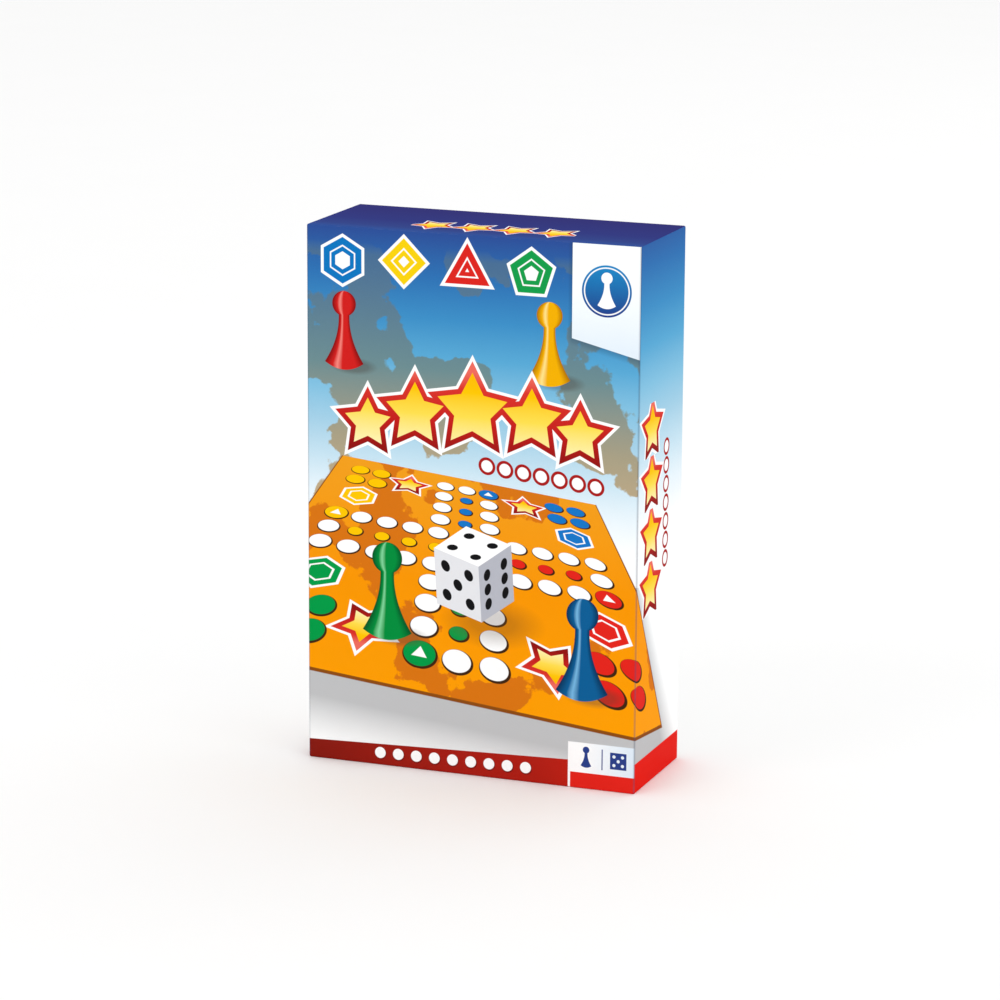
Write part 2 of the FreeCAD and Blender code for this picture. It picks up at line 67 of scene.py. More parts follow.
MM = 0.001
HALF_WIDE, HALF_DEEP, BOX_TALL = (float(n) / MM for n in cad_box[1])
MID_TALL = BOX_TALL / 2
SOFT = 0.12  # width of the soft edge of a printed shape
FAR = 50.0  # added to the distance from a shape where it isn't printed
BOARD_HALF = 6.15  # from the middle of the game board to its edge, in cells of its track

WHITE = "#fdfdfd"
YELLOW = "#fcc400"
RED = "#e0241b"
BLUE = "#1674c4"
GREEN = "#009845"
QUARTERS = [(0.0, GREEN), (0.25, RED), (0.5, BLUE), (0.75, YELLOW)]  # of the track, by angle


# ------------------------------------------------------------------ paint


class Field:
    """A number at each point of a surface. Its sums and products are math nodes."""

    def __init__(self, tree, socket):
        self.tree = tree
        self.socket = socket

    def made(self, operation, *inputs, clamp=False):
        node = self.tree.nodes.new("ShaderNodeMath")
        node.operation = operation
        node.use_clamp = clamp
        for slot, given in zip(node.inputs, inputs):
            plug(self.tree, slot, given)
        return Field(self.tree, node.outputs[0])

    def __add__(self, other):
        return self.made("ADD", self, other)

    def __sub__(self, other):
        return self.made("SUBTRACT", self, other)

    def __rsub__(self, other):
        return self.made("SUBTRACT", other, self)

    def __mul__(self, other):
        return self.made("MULTIPLY", self, other)

    def __truediv__(self, other):
        return self.made("DIVIDE", self, other)

    def __abs__(self):
        return self.made("ABSOLUTE", self)

    def __lt__(self, other):
        return self.made("LESS_THAN", self, other)

    def __gt__(self, other):
        return self.made("GREATER_THAN", self, other)

    def sign(self):
        return self.made("SIGN", self)

    def lowest(self, other):
        return self.made("MINIMUM", self, other)

    def highest(self, other):
        return self.made("MAXIMUM", self, other)

    def root(self):
        return self.made("SQRT", self)

    def rounded(self):
        return self.made("ROUND", self)

    def held(self):
        """Kept from 0 to 1."""
        return self.made("ADD", self, 0.0, clamp=True)

    def wrapped(self, period):
        """What is left after whole periods, from minus half a period to half a period."""
        return self.made("WRAP", self, period / 2, -period / 2)

    def below(self, limit, soft=SOFT):
        """1 under the limit and 0 over it, with a soft edge."""
        return self.made("MULTIPLY_ADD", self - limit, -1.0 / soft, 0.5, clamp=True)

    def above(self, limit, soft=SOFT):
        """1 over the limit and 0 under it, with a soft edge."""
        return self.made("MULTIPLY_ADD", self - limit, 1.0 / soft, 0.5, clamp=True)


def plug(tree, slot, given):
    """Sets a socket to a number or a colour, or links a field or another socket to it."""
    if isinstance(given, Field):
        given = given.socket
    if isinstance(given, bpy.types.NodeSocket):
        tree.links.new(given, slot)
    elif slot.type == "RGBA":
        slot.default_value = linear(given) + (1.0,)
    else:
        slot.default_value = given


def linear(code):
    """The linear colour of a hex code."""
    shares = (int(code[k : k + 2], 16) / 255 for k in (1, 3, 5))
    return tuple(s / 12.92 if s <= 0.04045 else ((s + 0.055) / 1.055) ** 2.4 for s in shares)


class Paint:
    """A material under way: its nodes, and the place and direction of each point of the surface."""

    def __init__(self, name):
        self.material = bpy.data.materials.new(name)
        self.material.use_nodes = True
        self.tree = self.material.node_tree
        self.shader = next(n for n in self.tree.nodes if n.type == "BSDF_PRINCIPLED")
        self.place = self.node("ShaderNodeTexCoord").outputs
        self.x, self.y, self.z = (f * (1 / MM) for f in self.parts(self.place["Object"]))
        self.facing = self.parts(self.place["Normal"])

    def node(self, kind, **settings):
        node = self.tree.nodes.new(kind)
        for key, given in settings.items():
            setattr(node, key, given)
        return node

    def parts(self, socket):
        split = self.node("ShaderNodeSeparateXYZ")
        self.tree.links.new(socket, split.inputs[0])
        return [Field(self.tree, out) for out in split.outputs]

    def noise(self, size, detail=3.0, seed=0.0, stretch=(1, 1, 1)):
        """Noise from 0 to 1 with spots of about this size."""
        spread = self.node("ShaderNodeMapping")
        self.tree.links.new(self.place["Object"], spread.inputs[0])
        spread.inputs["Scale"].default_value = [1 / MM / size / s for s in stretch]
        node = self.node("ShaderNodeTexNoise", noise_dimensions="4D")
        self.tree.links.new(spread.outputs[0], node.inputs["Vector"])
        node.inputs["W"].default_value = seed
        node.inputs["Scale"].default_value = 1.0
        node.inputs["Detail"].default_value = detail
        return Field(self.tree, node.outputs[0])

    def over(self, under, share, colour, **settings):
        """The colour laid over what is under it, as far as the share says."""
        node = self.node("ShaderNodeMix", data_type="RGBA", **settings)
        for slot, given in zip((s for s in node.inputs if s.enabled), (share, under, colour)):
            plug(self.tree, slot, given)
        return next(s for s in node.outputs if s.enabled)

    def shaded(self, colour, factor):
        """The colour made darker or lighter by a factor."""
        grey = self.node("ShaderNodeCombineColor")
        for slot in grey.inputs:
            plug(self.tree, slot, factor)
        return self.over(colour, 1.0, grey.outputs[0], blend_type="MULTIPLY")

    def ramp(self, share, stops, mode="LINEAR"):
        node = self.node("ShaderNodeValToRGB")
        node.color_ramp.interpolation = mode
        plug(self.tree, node.inputs[0], share)
        elements = node.color_ramp.elements
        while len(elements) < len(stops):
            elements.new(1.0)
        for element, (place, colour) in zip(elements, stops):
            element.position = place
            element.color = linear(colour) + (1.0,)
        return node.outputs[0]

    def relief(self, height, depth):
        """Bumps: the depth is what one unit of the height field stands for."""
        node = self.node("ShaderNodeBump")
        node.inputs["Distance"].default_value = depth * MM
        plug(self.tree, node.inputs["Height"], height)
        self.tree.links.new(node.outputs[0], self.shader.inputs["Normal"])

    def finished(self, **given):
        """The material, with the shader's own sockets set or linked."""
        for key, what in given.items():
            plug(self.tree, self.shader.inputs[key.replace("_", " ")], what)
        return self.material


# ------------------------------------------------------------------ printed shapes


def span(du, dv):
    return (du * du + dv * dv).root()


def pointed(du, dv, points, outer, inner):
    """Distance outside a star with one tip up, whose tips and notches lie at two radii."""
    half = math.pi / points
    fold = abs((du.made("ARCTAN2", dv, du) - math.pi / 2).wrapped(2 * half))
    reach = span(du, dv)
    notch = Vector((inner * math.cos(half), inner * math.sin(half)))
    edge = notch - Vector((outer, 0))
    out = Vector((edge.y, -edge.x)).normalized()
    if out.x < 0:
        out.negate()
    along = reach * fold.made("COSINE", fold) - outer
    return along * out.x + reach * fold.made("SINE", fold) * out.y


def regular(du, dv, sides, radius):
    """Distance outside a regular shape with this many sides and one corner up."""
    return pointed(du, dv, sides, radius, radius * math.cos(math.pi / sides))


def perspective(u, v, corners, half):
    """Coordinates from -half to half on a square seen at a slant, by where its corners are seen."""
    square = ((-half, half), (half, half), (half, -half), (-half, -half))
    rows, right = [], []
    for (a, b), (s, t) in zip(corners, square):
        rows.append([a, b, 1, 0, 0, 0, -a * s, -b * s])
        rows.append([0, 0, 0, a, b, 1, -a * t, -b * t])
        right += [s, t]
    c = [float(n) for n in np.linalg.solve(rows, right)]
    away = u * c[6] + v * c[7] + 1.0
    return (u * c[0] + v * c[1] + c[2]) / away, (u * c[3] + v * c[4] + c[5]) / away


STAR_RIM = [(0.0, "#8f1310"), (0.35, "#bf1d1a"), (0.8, "#d8342b"), (1.0, "#ea6a5c")]
STAR_FILL = [(0.0, "#fff2b8"), (0.45, "#fddb4e"), (0.75, YELLOW), (1.0, "#fbb500")]


def stars_print(paint, under, distance, height):
    """Stars with a white and a red rim, yellow and paler towards their feet."""
    under = paint.over(under, distance.below(2.8), WHITE)
    under = paint.over(under, distance.below(1.8), paint.ramp(height, STAR_RIM))
    return paint.over(under, distance.below(0.0), paint.ramp(height, STAR_FILL))


def corner_signs(paint, under, s, t, soft):
    """A star and a hexagon in each corner between the arms of the track."""
    star = pointed(abs(s) - 2.62, abs(t) - 4.45, 5, 0.62, 0.33)
    colour = stars_print(paint, under, star * 12.0, (abs(t) - 3.9) / 1.2)
    badge = regular(abs(s) - 4.5, abs(t) - 2.6, 6, 0.72)
    corner = (s.made("ARCTAN2", t, s) + math.pi) / (2 * math.pi)
    colour = paint.over(colour, badge.below(0.1, soft), WHITE)
    colour = paint.over(colour, badge.below(0.0, soft), paint.ramp(corner, QUARTERS, "CONSTANT"))
    return paint.over(colour, abs(badge + 0.24).below(0.035, soft), WHITE)


def track(paint, under, s, t, soft):
    """The traditional cross-shaped track laid over a colour, in cells from its middle."""
    under = corner_signs(paint, under, s, t, soft)
    column, row = s.rounded(), t.rounded()
    ds, dt = s - column, t - row
    wide, tall = abs(column), abs(row)
    least, most = wide.lowest(tall), wide.highest(tall)
    # three cells make an arm, with a lane along its middle and a start at its end
    arm = (least < 1.5) * (most < 5.5)
    lane = (least < 0.5) * (most > 0.5) * (most < 4.5)
    home = (least > 3.5) * (most < 5.5)
    start = (least > 0.5) * arm * (most > 4.5) * ((tall - wide) * column * row > 0.0)
    radius = arm * 0.38 - lane * 0.12 + home * 0.4 + start * 0.05
    shown = arm + home
    rim = span(ds - 0.02, dt + 0.035).below(radius + 0.045, soft) * shown
    rimmed = paint.over(under, rim, "#3d2410")

    quarter = (column.made("ARCTAN2", row, column) + math.radians(157.5)) / (2 * math.pi)
    coloured = paint.ramp(quarter.made("FRACT", quarter), QUARTERS, "CONSTANT")
    space = paint.over(WHITE, (lane + home + start).held(), coloured)
    arrow = start * regular(ds, dt, 3, 0.24).below(0.0, soft)
    space = paint.over(space, arrow, WHITE)
    return paint.over(rimmed, span(ds, dt).below(radius, soft) * shown, space)


def pawn_shape(du, dv, soft):
    """Where a standing pawn is and its half width: 24 units tall, flared, with a ball head."""
    climb = 1.0 - (dv / 15.5).held()
    body = (climb * climb * 5.2 + 1.9) * (dv < 18.0)
    head = 17.6 - (dv - 20.0) * (dv - 20.0)
    half = body.highest(head.highest(0.0).root())
    bottom = (du * du) * 0.05 - 2.0
    return abs(du).below(half, soft) * dv.above(bottom, soft) * half.above(0.3, 0.2), half


def pawn_print(paint, under, u, v, foot, scale, shades):
    """A pawn with light from its left and a soft shadow on its right."""
    du, dv = (u - foot[0]) / scale, (v - foot[1]) / scale
    mask, half = pawn_shape(du, dv, SOFT / scale)
    shadow = span((du - 3.5) / 7.5, (dv + 0.6) / 2.6).below(0.9, 0.5) * 0.45
    dark, plain, light = shades
    stops = [(0.0, dark), (0.22, plain), (0.33, light), (0.45, plain), (0.78, plain), (1.0, dark)]
    shaded = paint.ramp(du / half * 0.5 + 0.5, stops)
    return paint.over(paint.over(under, shadow, "#4a3a2c"), mask, shaded)


def die_print(paint, under, u, v, middle, edges):
    """A die seen on one of its corners: each face is a skewed square with its pips."""
    du, dv = u - middle[0], v - middle[1]
    left, right, down = (Vector(edge) for edge in edges)
    quarter = 0.26
    looks = (
        (left, right, "#ffffff", [(quarter, quarter)]),
        (left, down, "#e3e4e8", [(0, 0), (quarter, quarter)]),
        (right, down, "#b4b6c0", [(quarter, 0), (quarter, quarter)]),
    )
    for first, second, colour, spots in looks:
        area = first.x * second.y - first.y * second.x
        s = abs((du * second.y - dv * second.x) / area - 0.5)
        t = abs((dv * first.x - du * first.y) / area - 0.5)
        soft = SOFT / first.length
        under = paint.over(under, s.highest(t).below(0.5 + soft / 2, soft), colour)
        nearest = reduce(Field.lowest, [span(s - a, t - b) for a, b in spots])
        under = paint.over(under, nearest.below(0.1, soft), "#141416")
    return under


# ------------------------------------------------------------------ the lid's print

# u runs to the right and v up, and the rest are masks of the parts of the lid's outside
Place = namedtuple("Place", "u v side end front")


def flat_place(paint):
    """Flat coordinates of the lid's print, and masks of its sides, its two ends and its front.

    The masks hold outside the lid only. Its rim and the paper folded in behind it are on none.
    """
    skin = 0.7  # a little more than the round of the edges
    depth = paint.y + HALF_DEEP
    side = abs(paint.facing[0]).above(0.7, 0.02) * (abs(paint.x) > HALF_WIDE - skin)
    end = abs(paint.facing[2]).above(0.7, 0.02) * (abs(paint.z - MID_TALL) > MID_TALL - skin)
    front = ((depth < skin) - side - end).held()
    u = paint.x + paint.x.sign() * depth * side
    v = paint.z + (paint.z - MID_TALL).sign() * depth * end
    return Place(u, v, side, end, front)


SKY = (  # height up the front, and the tone there
    (0.0, "#fcfdfd"),
    (82.0, "#fbfdfe"),
    (95.0, "#e4f1f8"),
    (106.0, "#c6e1ef"),
    (118.0, "#a4cee4"),
    (130.0, "#82bfde"),
    (143.0, "#57a6d2"),
    (156.0, "#3c8cc3"),
    (170.0, "#2d6fb0"),
    (184.0, "#2c4f97"),
    (191.0, "#2d4085"),
    (203.0, "#2b337c"),
    (231.0, "#2c2a70"),
)
ISLANDS = [(0.5, "#bb9d6c"), (0.62, "#a3946f"), (0.75, "#6b8583"), (0.95, "#4a6d8f")]


def evening_sky(paint, place):
    """White at the foot and deep blue at the top, with faded islands over it on the front."""
    v, front = place.v, place.front
    top = SKY[-1][0]
    lag = place.side * 7.5  # the sky turns blue higher up on the sides
    colour = paint.ramp((v - lag) / top, [(height / top, tone) for height, tone in SKY])
    land = paint.noise(30.0, 8.0, seed=3.1).above(0.533, 0.01)
    land = land * v.above(88.0, 6.0) * v.below(178.0, 4.0) * front * 0.9
    return paint.over(colour, land, paint.ramp(v / BOX_TALL, ISLANDS))


def slanted_board(paint, under, place):
    """The game board lies at a slant, and its shadow falls on the white below it."""
    u, v, side, _, front = place
    corners = ((-46, 107), (44, 98), (86, 17), (-96, 36))
    s, t = perspective(u, v, corners, BOARD_HALF)
    ahead = (front + side) * v.below(112.0, 1.0)
    shade = (t + BOARD_HALF + 1.7).held() * (t < 0.0)
    shade = shade * abs(s).below(BOARD_HALF + 0.3, 1.0) * ahead
    colour = paint.over(under, shade * 0.62, "#85868a")
    edge = abs(s).highest(abs(t + 0.05)).below(BOARD_HALF + 0.05, 0.02) * ahead
    colour = paint.over(colour, edge, "#8a4a12")

    field = paint.ramp(v / 110.0, [(0.15, "#fb9e00"), (0.6, "#f59400"), (0.95, "#ee9c1c")])
    patches = paint.noise(24.0, 6.0, seed=8.4).above(0.565, 0.01)
    field = paint.over(field, patches * 0.85, "#cf6a12")
    field = track(paint, field, s, t, 0.014)
    return paint.over(colour, abs(s).highest(abs(t)).below(BOARD_HALF, 0.02) * ahead, field)


BAND = [(0.0, "#83190f"), (0.4, "#a11d13"), (0.7, "#ae1e13"), (0.95, "#c92113"), (1.0, "#e3180c")]


def red_band(paint, under, place):
    """A red band round the foot, lower and deeper towards the left."""
    u, v, end = place.u, place.v, place.end
    rise = 10.4 - (HALF_WIDE - u).highest(0.0) * 0.032
    band = ((v - rise).below(0.0) + end * (paint.z < MID_TALL)).held()
    return paint.over(under, band, paint.ramp(abs(u + HALF_WIDE) / (2 * HALF_WIDE), BAND))


PAWNS = (  # the foot of each printed pawn, its scale and its three shades
    ((-45.5, 138.5), 1.02, ("#7d0a0c", "#cf1f1d", "#f2857c")),
    ((27.5, 138.5), 1.08, ("#a86a00", "#f0ae00", "#fbe08a")),
    ((-30.0, 47.0), 1.3, ("#004f24", "#008b3c", "#7fd39a")),
    ((40.0, 33.0), 1.35, ("#062c4f", "#0b5c93", "#74b3dc")),
)


def pieces(paint, under, place):
    """Four pawns and a die."""
    u, v = place.u, place.v
    for foot, scale, shades in PAWNS:
        under = pawn_print(paint, under, u, v, foot, scale, shades)
    shadow = span((u - 8.0) / 17.0, (v - 54.0) / 8.0).below(0.8, 0.7) * place.front * 0.4
    colour = paint.over(under, shadow, "#5a3a18")
    edges = ((-16.0, 5.0), (11.5, 8.5), (1.2, -19.0))
    return die_print(paint, colour, u, v, (3.0, 73.0), edges)


TITLE = (  # the middle of each star in the title's place, and its radius
    (-37.0, 119.0, 8.6),
    (-20.0, 123.5, 10.8),
    (0.5, 126.0, 13.0),
    (21.5, 124.5, 10.8),
    (38.5, 120.5, 8.6),
)


def stars(paint, under, place):
    """Five stars on the front, and a few small ones on each side and on the top."""
    u, v, side, end, front = place
    row = [pointed(u - a, v - b, 5, size, size * 0.52) for a, b, size in TITLE]
    nearest = reduce(Field.lowest, row) + (1.0 - front) * FAR
    colour = stars_print(paint, under, nearest, (v - 111.0) / 28.0)

    along = (v - 104.0).wrapped(18.0)
    column = pointed(abs(u) - HALF_WIDE - 13.5, along, 5, 8.2, 4.4)
    column = column + ((abs(v - 95.0) > 36.0) + (1.0 - side)) * FAR
    colour = stars_print(paint, colour, column, along / 14.0 + 0.5)

    level = BOX_TALL + 14.0 - v
    line = pointed((u - 10.25).wrapped(14.5), level, 5, 6.0, 3.2) * 1.8
    line = line + ((abs(u - 3.0) > 29.0) + (1.0 - end) + (paint.z < MID_TALL)) * FAR
    return stars_print(paint, colour, line, level / 11.0 + 0.5)


def beads(paint, under, place):
    """Rows of small beads: under the stars, and beside them on each side."""
    u, v, side, _, front = place
    pitch, reach = 6.4, 22.4
    across, up = u - 25.0, v - 94.0
    row = span(across.wrapped(pitch), v - 105.8 + across * 0.1) + (abs(across) > reach) * FAR
    column = span(up.wrapped(pitch), abs(u) - HALF_WIDE - 28.5) + (abs(up) > reach) * FAR
    nearest = (row + (1.0 - front) * FAR).lowest(column + (1.0 - side) * FAR)
    colour = paint.over(under, nearest.below(3.0), "#a81c1a")
    return paint.over(colour, nearest.below(2.0), WHITE)


STICKERS = (  # the middle of each sticker, its number of sides, its radius and its tone
    (-46.0, 173.5, 6, 8.0, "#0b74bd"),
    (-24.0, 174.5, 4, 8.0, "#f4cf0a"),
    (-1.5, 173.0, 3, 9.4, "#d9251f"),
    (21.0, 173.5, 5, 8.0, "#139a49"),
)


def stickers(paint, under, place):
    """Four stickers along the top of the front, with white rims and rings."""
    u, v, front = place.u, place.v, place.front
    for a, b, sides, size, tone in STICKERS:
        shape = regular(u - a, v - b, sides, size)
        under = paint.over(under, shape.below(0.9) * front, WHITE)
        under = paint.over(under, shape.below(-0.1) * front, tone)
        under = paint.over(under, abs(shape + 2.6).below(0.25) * front, WHITE)
        under = paint.over(under, shape.below(-4.3) * front, WHITE)
    return under


def high_tag(paint, under, place):
    """A white tag at the right edge with a sloping foot, and a pawn on a disc for its sign."""
    u, v, front = place.u, place.v, place.front
    foot = v + (u - 35.3) * 0.24
    shadow = u.above(34.6, 1.6) * foot.above(152.0, 2.6) * front * 0.45
    colour = paint.over(under, shadow, "#27405a")
    fill = paint.ramp((v - 150.0) / 20.0, [(0.0, "#e3eef8"), (1.0, "#f8fcfc")])
    colour = paint.over(colour, u.above(35.3) * foot.above(153.2) * front, fill)

    across, up = u - 47.2, v - 169.5
    disc = span(across, up)
    fill = paint.ramp((v - 161.0) / 17.0, [(0.0, "#223a86"), (1.0, "#1d86c4")])
    colour = paint.over(colour, disc.below(8.6) * front, fill)
    colour = paint.over(colour, abs(disc - 7.7).below(0.22) * front, WHITE)
    scale = 0.46
    pawn = pawn_shape(across / scale, (v - 164.6) / scale, 0.2)[0]
    return paint.over(colour, pawn * front, WHITE)


def low_tag(paint, under, place):
    """A small tag at the foot with a pawn and a die, a line between them and red below."""
    u, v, front = place.u, place.v, place.front
    fill = paint.ramp((u - 35.0) / 24.0, [(0.2, WHITE), (1.0, "#dbe9f5")])
    colour = paint.over(under, u.above(35.4) * v.below(16.0) * front, fill)
    colour = paint.over(colour, u.above(36.2) * v.below(5.6) * front, RED)

    up = abs(v - 10.8)
    divider = abs(u - 47.5).below(0.2) * up.below(3.6)
    scale = 0.28
    pawn = pawn_shape((u - 41.8) / scale, (v - 8.0) / scale, 0.4)[0]
    across = abs(u - 53.2)
    around_pips = span(across - 1.5, up - 1.5).lowest(span(across, up)).above(0.55)
    die = across.highest(up).below(2.9) * around_pips
    return paint.over(colour, (divider + pawn + die).held() * front, "#2c3f86")


def band_spaces(paint, under, place):
    """A row of small white spaces along the red band."""
    across = place.u + 6.0
    along, level = across.wrapped(6.6), place.v - 4.6 - across * 0.012
    row = abs(across).below(29.6) * place.front
    colour = paint.over(under, span(along, level + 0.15).below(2.2) * row, "#7d110e")
    return paint.over(colour, span(along + 0.15, level - 0.1).below(1.95) * row, WHITE)


LAYERS = (  # over the sky, from the lowest to the topmost
    slanted_board,
    red_band,
    pieces,
    stars,
    beads,
    stickers,
    high_tag,
    low_tag,
    band_spaces,
)


# ------------------------------------------------------------------ materials


def worn(paint, colour, edges, bare="#e7e2d8"):
    """Small scuffs where two sides meet bare the paper. Edges are distances from three sides."""
    a, b, c = edges
    second = a + b + c - a.lowest(b).lowest(c) - a.highest(b).highest(c)
    rubbed = second.below(0.12, 0.24) * paint.noise(1.8, 5.0, seed=1.7).above(0.56, 0.14)
    return paint.over(colour, rubbed * 0.3, bare)


def cover_material():
    """The printed lid: an evening sky over an orange game board, with a red band below."""
    paint = Paint("cover_print")
    place = flat_place(paint)
    colour = evening_sky(paint, place)
    for layer in LAYERS:
        colour = layer(paint, colour, place)

    aside = HALF_WIDE - abs(paint.x)
    behind = paint.y + HALF_DEEP
    inward = MID_TALL - abs(paint.z - MID_TALL)
    # painted shade: a dark blue-grey line along the front's two upright edges, where the front
    # turns into the sides
    fold = aside.highest(behind)
    colour = paint.over(colour, fold.below(0.45, 0.5) * 0.45, "#3a4660")
    colour = worn(paint, colour, (aside, behind, inward))
    paint.relief(paint.noise(16.0, 2.0, seed=4.0) + paint.noise(1.1, 2.0, seed=5.0) * 0.06, 0.12)
    return paint.finished(
        Base_Color=colour,
        Roughness=paint.noise(9.0, 4.0, seed=2.0) * 0.14 + 0.36,
        Specular_IOR_Level=0.0,
        Coat_Weight=0.07,
        Coat_Roughness=0.2,
    )


def base_sides(paint):
    """Distances from the base's sides, its back and its ends."""
    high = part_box("base_wrap")[1] / MM
    return high.x - abs(paint.x), high.y - paint.y, (high.z - MID_TALL) - abs(paint.z - MID_TALL)


def paper_material(name, tone, low, rough, grain, depth, sides=None):
    """Paper or board: mottled tone, fibres, a little relief, and scuffs if its sides are given."""
    paint = Paint(name)
    mottle = paint.noise(grain * 14, 4.0, seed=0.4)
    fibre = paint.noise(grain, 3.0, seed=6.2, stretch=(1, 1, 4))
    colour = paint.over(tone, mottle * 0.6, low)
    colour = paint.shaded(colour, fibre * 0.12 + 0.94)
    if sides:
        colour = worn(paint, colour, sides(paint), "#b8ada0")
    paint.relief(fibre + mottle * 0.5, depth)
    return paint.finished(Base_Color=colour, Roughness=fibre * 0.1 + rough)


def board_material():
    """The printed face of the folding board, in the same square from both halves."""
    paint = Paint("board_print")
    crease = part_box("board_back_face")[0].x / MM - 0.15
    half = MID_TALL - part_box("board_back_face")[0].z / MM
    meeting = (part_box("board_back_face")[0].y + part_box("board_front_face")[1].y) / 2 / MM
    turned = paint.y.below(meeting, 0.01)  # the front half lies face down on the back one
    from_crease = paint.x - crease
    s = from_crease * (1.0 - turned * 2.0) * (BOARD_HALF / half)
    t = (paint.z - MID_TALL) * (BOARD_HALF / half)
    patches = paint.noise(46.0, 6.0, seed=8.4).above(0.56, 0.01)
    colour = paint.over("#fa9d02", patches * 0.85, "#cf6a12")
    colour = track(paint, colour, s, t, 0.01)
    border = abs(abs(s).highest(abs(t)) - 5.85)
    colour = paint.over(colour, border.below(0.025, 0.01), "#7a3a0c")
    crack = from_crease.below(0.5, 0.5) * paint.noise(3.0, 4.0, seed=2.2).above(0.5, 0.1)
    colour = paint.over(colour, crack * 0.5, "#e9dcc4")
    paint.relief(paint.noise(9.0, 2.0, seed=4.0) + paint.noise(0.9, 2.0, seed=5.0) * 0.08, 0.08)
    rough = paint.noise(12.0, 3.0, seed=2.0) * 0.1 + 0.33
    return paint.finished(Base_Color=colour, Roughness=rough, Coat_Weight=0.15, Coat_Roughness=0.2)


def rules_material():
    """A sheet with grey bars in place of words, and a small track as its picture."""
    paint = Paint("rules_print")
    low, high = (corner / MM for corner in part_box("rules_sheet"))
    wide, tall = (high.x - low.x) / 2, high.z - low.z
    u, v = paint.x - (low.x + high.x) / 2, high.z - paint.z
    pitch = 3.6  # of the bars
    picture_at, cell = 84.0, 2.35

    number = (v / pitch).rounded()
    ragged = number.made("FRACT", number.made("SINE", number * 12.99) * 43.7)
    blank = number.made("FLOORED_MODULO", number, 9.0) < 1.0
    blank = blank + (v < 16.0) + (v > tall - 10.0)
    picture = (u > 2.0) * (abs(v - picture_at) < 17.0)
    column = abs(abs(u) - wide / 2 - 0.5)
    row = abs(v.wrapped(pitch)).below(0.55, 0.15) * column.below(14.6 - ragged * 1.2)
    bars = row * (1.0 - (blank + picture).held())
    colour = paint.over("#f6f5f0", paint.noise(30.0, 4.0) * 0.5, "#ebe9e1")
    colour = paint.over(colour, bars * 0.85, "#6f7276")
    heading = abs(v - 9.0).below(2.4) * abs(u).below(wide - 8.0)
    colour = paint.over(colour, heading, BLUE)

    s, t = (u - wide / 2 - 0.5) / cell, (picture_at - v) / cell
    panel = abs(s).highest(abs(t)).below(6.1, 0.05)
    colour = paint.over(colour, panel, track(paint, "#f9a21a", s, t, 0.05))
    fold = abs(v - tall / 2)
    # painted shade: the sheet is a little darker along the crease where it is folded in half
    colour = paint.shaded(colour, 1.0 - fold.below(0.4, 0.5) * 0.12)
    paint.relief(paint.noise(0.6, 3.0, seed=6.0) * 0.3 - fold.below(0.5, 0.8), 0.06)
    return paint.finished(Base_Color=colour, Roughness=0.72)


def plastic_material(name, tone, low, rough=0.16):
    """Moulded plastic with a faint flow pattern and small rubbed spots."""
    paint = Paint(name)
    flow = paint.noise(7.0, 3.0, seed=3.0)
    rub = paint.noise(1.6, 4.0, seed=5.0)
    colour = paint.over(tone, flow * 0.35, low)
    paint.relief(flow * 0.6 + rub * 0.05, 0.05)
    return paint.finished(
        Base_Color=colour,
        Roughness=rub * 0.12 + rough,
        Coat_Weight=0.25,
        Coat_Roughness=0.05,
        Subsurface_Weight=0.06,
        Subsurface_Scale=0.002,
    )


def tray_material():
    """Thin white sheet that was drawn while hot: satin, with faint draw lines on its walls."""
    paint = Paint("tray_plastic")
    cloud = paint.noise(22.0, 3.0, seed=2.0)
    drawn = paint.noise(1.3, 3.0, seed=4.0, stretch=(1, 9, 1))
    wall = (1.0 - abs(paint.facing[1])).held()
    colour = paint.over("#f2f2ef", cloud * 0.5, "#e4e5e4")
    colour = paint.shaded(colour, 1.0 - drawn * wall * 0.06)
    paint.relief(cloud * 0.15 + drawn * wall * 0.12, 0.07)
    return paint.finished(
        Base_Color=colour,
        Roughness=cloud * 0.1 + 0.32,
        Subsurface_Weight=0.1,
        Subsurface_Scale=0.002,
    )


PAPERS = (  # name, two tones, roughness, grain and relief of a paper, and the nodes that it covers
    ("greyboard", "#a29a8e", "#8a8378", 0.85, 0.45, 0.14, "lid_board base_board"),
    ("stay_tape", "#c3a57a", "#b0926a", 0.7, 0.4, 0.06, "lid_corner_stays base_corner_stays"),
    ("board_card", "#a0988c", "#888176", 0.85, 0.45, 0.12, "board_back_panel board_front_panel"),
    ("board_lining", "#c4211b", "#b01a17", 0.55, 0.5, 0.06, "board_back_lining board_front_lining"),
)


def dress(material, *names):
    """Gives CAD nodes their material."""
    for name in names:
        mesh = nodes[name].data
        mesh.materials.clear()
        mesh.materials.append(material)


def dress_all():
    """Dresses every CAD node that the scene keeps in sight."""
    dress(cover_material(), "lid_wrap")
    plain = paper_material("plain_wrap", "#f4f4f1", "#e9e9e5", 0.4, 0.5, 0.05, base_sides)
    dress(plain, "base_wrap")
    for *look, names in PAPERS:
        dress(paper_material(*look), *names.split())
    dress(board_material(), "board_back_face", "board_front_face")
    dress(rules_material(), "rules_sheet")
    dress(tray_material(), "piece_tray")
    smoothed("piece_tray")


# ------------------------------------------------------------------ meshes


def linked(name, data):
    """A new object of the scene."""
    made = bpy.data.objects.new(name, data)
    bpy.context.scene.collection.objects.link(made)
    return made


def settle(mesh, angle):
    """Smooth shading but for the edges sharper than the angle."""
    mesh.shade_smooth()
    mesh.set_sharp_from_angle(angle=angle)


